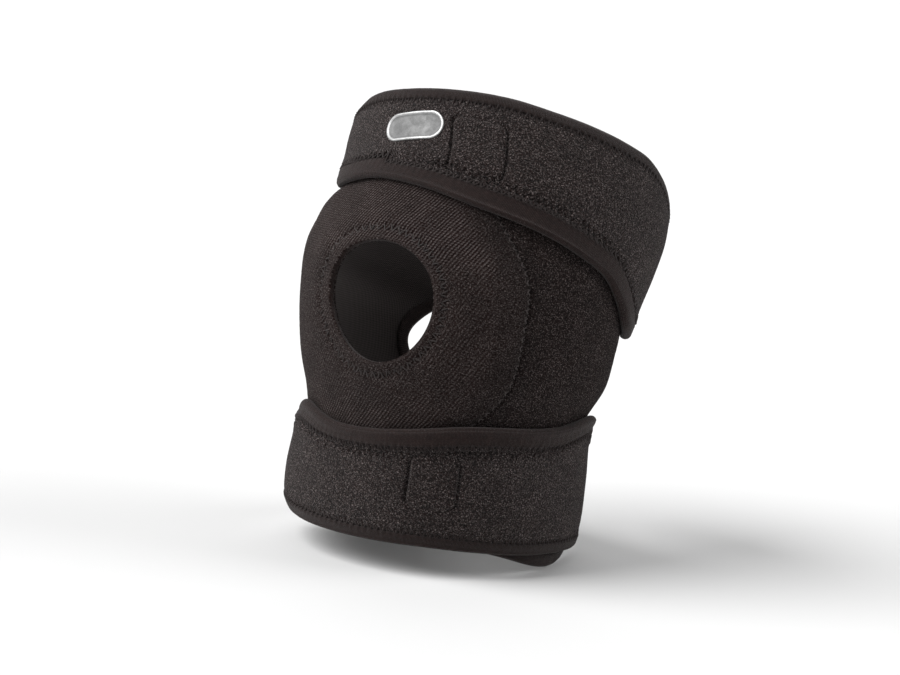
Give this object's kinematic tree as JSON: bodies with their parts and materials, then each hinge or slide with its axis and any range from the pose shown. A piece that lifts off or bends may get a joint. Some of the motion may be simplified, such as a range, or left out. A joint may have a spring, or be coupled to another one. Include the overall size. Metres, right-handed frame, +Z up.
{
  "type": "knee brace",
  "caption": "Open-patella wrap-round knee support in black neoprene with an oval kneecap opening and two tapered hook-and-loop straps over a thigh cuff and a calf cuff.",
  "frame": {"origin": "centre of the knee, where the axes of the calf cuff and the thigh cuff cross, between the side panels and behind the kneecap opening", "axes": "+Z up along the shin, -Y forwards out of the kneecap opening, +X towards the wearer's outer side. The thigh cuff leans back, towards +Y, by 31 degrees at rest"},
  "size_m": [0.14, 0.1527, 0.1878],
  "materials": {
    "knit_face": "black ribbed knit over neoprene, matt with a soft sheen",
    "loop_pile": "black brushed loop pile over neoprene, matt and speckled",
    "edge_tape": "smooth black folded edge tape, overlock stitched",
    "elastic_web": "black woven elastic, finely ribbed",
    "foam": "dark grey closed-cell foam, matt",
    "hook_tape": "black moulded hook tape",
    "badge_silver": "silver film, satin"
  },
  "bodies": {
    "calf_cuff": {"front_panel": "knit_face", "outer_wing": "loop_pile", "inner_wing": "loop_pile", "patella_pad": "foam", "opening_binding": "edge_tape", "outer_seam_tape": "edge_tape", "inner_seam_tape": "edge_tape", "bottom_binding": "edge_tape", "outer_wing_binding": "edge_tape", "inner_wing_binding": "edge_tape", "lower_loop_patch": "loop_pile", "lower_strap_root": "loop_pile", "lower_rear_elastic": "elastic_web"},
    "thigh_cuff": {"top_binding": "edge_tape", "upper_loop_patch": "loop_pile", "upper_strap_root": "loop_pile", "upper_rear_elastic": "elastic_web"},
    "upper_flap": {"upper_strap": "loop_pile", "upper_strap_binding": "edge_tape", "upper_hook_patch": "hook_tape", "badge": "badge_silver"},
    "lower_flap": {"lower_strap": "loop_pile", "lower_strap_binding": "edge_tape", "lower_hook_patch": "hook_tape"}
  },
  "joints": [
    {"name": "knee_flex", "type": "hinge", "parent": "calf_cuff", "child": "thigh_cuff", "pos_m": [0, 0.016, 0], "axis": [-1, 0, 0], "range_deg": [-31, 40], "stiffness_Nm_per_rad": 0.5, "deforming": ["front_panel", "outer_wing", "inner_wing", "patella_pad", "opening_binding", "outer_seam_tape", "inner_seam_tape", "outer_wing_binding", "inner_wing_binding"]},
    {"name": "upper_strap_open", "type": "hinge", "parent": "thigh_cuff", "child": "upper_flap", "pos_m": [0.06887, 0.04222, 0.03865], "axis": [0, 0.515, 0.8572], "range_deg": [0, 90]},
    {"name": "lower_strap_open", "type": "hinge", "parent": "calf_cuff", "child": "lower_flap", "pos_m": [0.05635, 0.01528, -0.05688], "axis": [0.0761, -0.0142, 0.997], "range_deg": [0, 90]}
  ]
}
